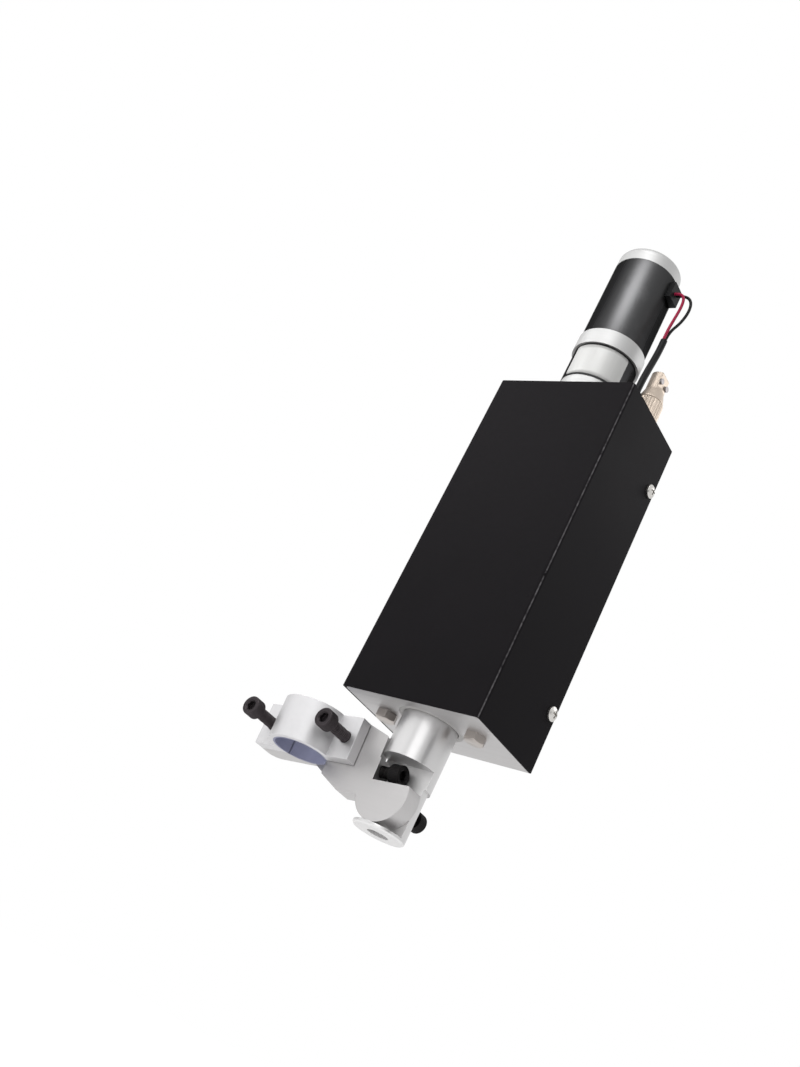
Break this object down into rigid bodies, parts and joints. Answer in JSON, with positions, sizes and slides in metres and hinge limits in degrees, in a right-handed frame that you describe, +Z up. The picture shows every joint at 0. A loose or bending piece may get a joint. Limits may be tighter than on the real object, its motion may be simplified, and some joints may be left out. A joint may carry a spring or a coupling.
{
  "type": "torch height adjuster",
  "caption": "Motor-driven torch lifter: a black housing with a gearmotor on top pushes a round rod down, with a tilting split holder for a cutting torch on its end.",
  "frame": {"origin": "centre of the back plate's mounting face", "axes": "+Z up along the lift rod towards the motor, +Y out of the back mounting face, the front cover faces -Y, +X to the right seen from the front"},
  "size_m": [0.1692, 0.0931, 0.475],
  "materials": {
    "black_paint": "matte powder coat",
    "machined_aluminium": "satin, milled",
    "polished_aluminium": "polished, turned",
    "black_oxide": "black oxide",
    "bright_steel": "zinc plated",
    "ground_steel": "ground",
    "brass": "machined",
    "black_rubber": "moulded",
    "pale_seal": "turned",
    "motor_black": "gloss black",
    "motor_silver": "satin",
    "connector_nickel": "satin nickel",
    "black_plastic": "moulded",
    "red_plastic": "extruded",
    "sheet_steel": "zinc plated",
    "violet_liner": "moulded"
  },
  "bodies": {
    "housing": {"back_plate": "machined_aluminium", "bearing_block": "machined_aluminium", "block_screws": "black_oxide", "bottom_guide_bolts": "bright_steel", "bottom_plate": "machined_aluminium", "bracket_screws": "bright_steel", "cable_clamp": "connector_nickel", "cable_clamp_screws": "bright_steel", "connector_plug": "connector_nickel", "connector_ring": "connector_nickel", "connector_socket": "connector_nickel", "cover_screws": "bright_steel", "front_cover": "black_paint", "gearbox_body": "motor_black", "gearbox_flange": "motor_silver", "gearbox_screws": "black_oxide", "guide_rod_left": "ground_steel", "guide_rod_right": "ground_steel", "lead_black": "black_plastic", "lead_grommet": "black_rubber", "lead_red": "red_plastic", "lead_sleeve": "black_plastic", "lower_limit_sensor": "black_plastic", "motor_can": "motor_black", "motor_end_cap": "motor_silver", "motor_ring": "motor_silver", "plate_screws": "black_oxide", "rod_bush": "brass", "rod_wiper": "pale_seal", "screw_bearing": "ground_steel", "sensor_bracket": "sheet_steel", "terminal_block": "black_plastic", "top_guide_bolts": "bright_steel", "top_plate": "machined_aluminium", "upper_limit_sensor": "black_plastic"},
    "screw": {"lead_screw": "ground_steel", "bearing_lock_nut": "bright_steel", "drive_coupling": "machined_aluminium", "coupling_screws": "black_oxide", "gearbox_shaft": "bright_steel"},
    "lift": {"lift_rod": "polished_aluminium", "carriage": "machined_aluminium", "linear_bearing_left": "ground_steel", "linear_bearing_right": "ground_steel", "screw_nut": "brass", "nut_screws": "black_oxide", "rod_set_screws": "black_oxide", "sensor_flag": "sheet_steel", "pivot_bolt": "black_oxide", "pivot_washer": "bright_steel"},
    "arm": {"torch_arm": "machined_aluminium", "holder_cap": "machined_aluminium", "liner_front": "violet_liner", "liner_rear": "violet_liner", "cap_screws": "black_oxide", "arm_side_screw": "black_oxide"}
  },
  "joints": [
    {"name": "lift", "type": "slide", "parent": "housing", "child": "lift", "axis": [0, 0, 1], "range_m": [-0.1, 0]},
    {"name": "screw_turn", "type": "hinge", "parent": "housing", "child": "screw", "pos_m": [0, -0.043, 0], "axis": [0, 0, 1], "range_deg": [-5, 3605]},
    {"name": "arm_tilt", "type": "hinge", "parent": "lift", "child": "arm", "pos_m": [0, -0.043, -0.184], "axis": [0, 1, 0], "range_deg": [-30, 0]}
  ],
  "couplings": [
    {"joint": "screw_turn", "follows": "lift", "rad_per_m": -628.32}
  ]
}
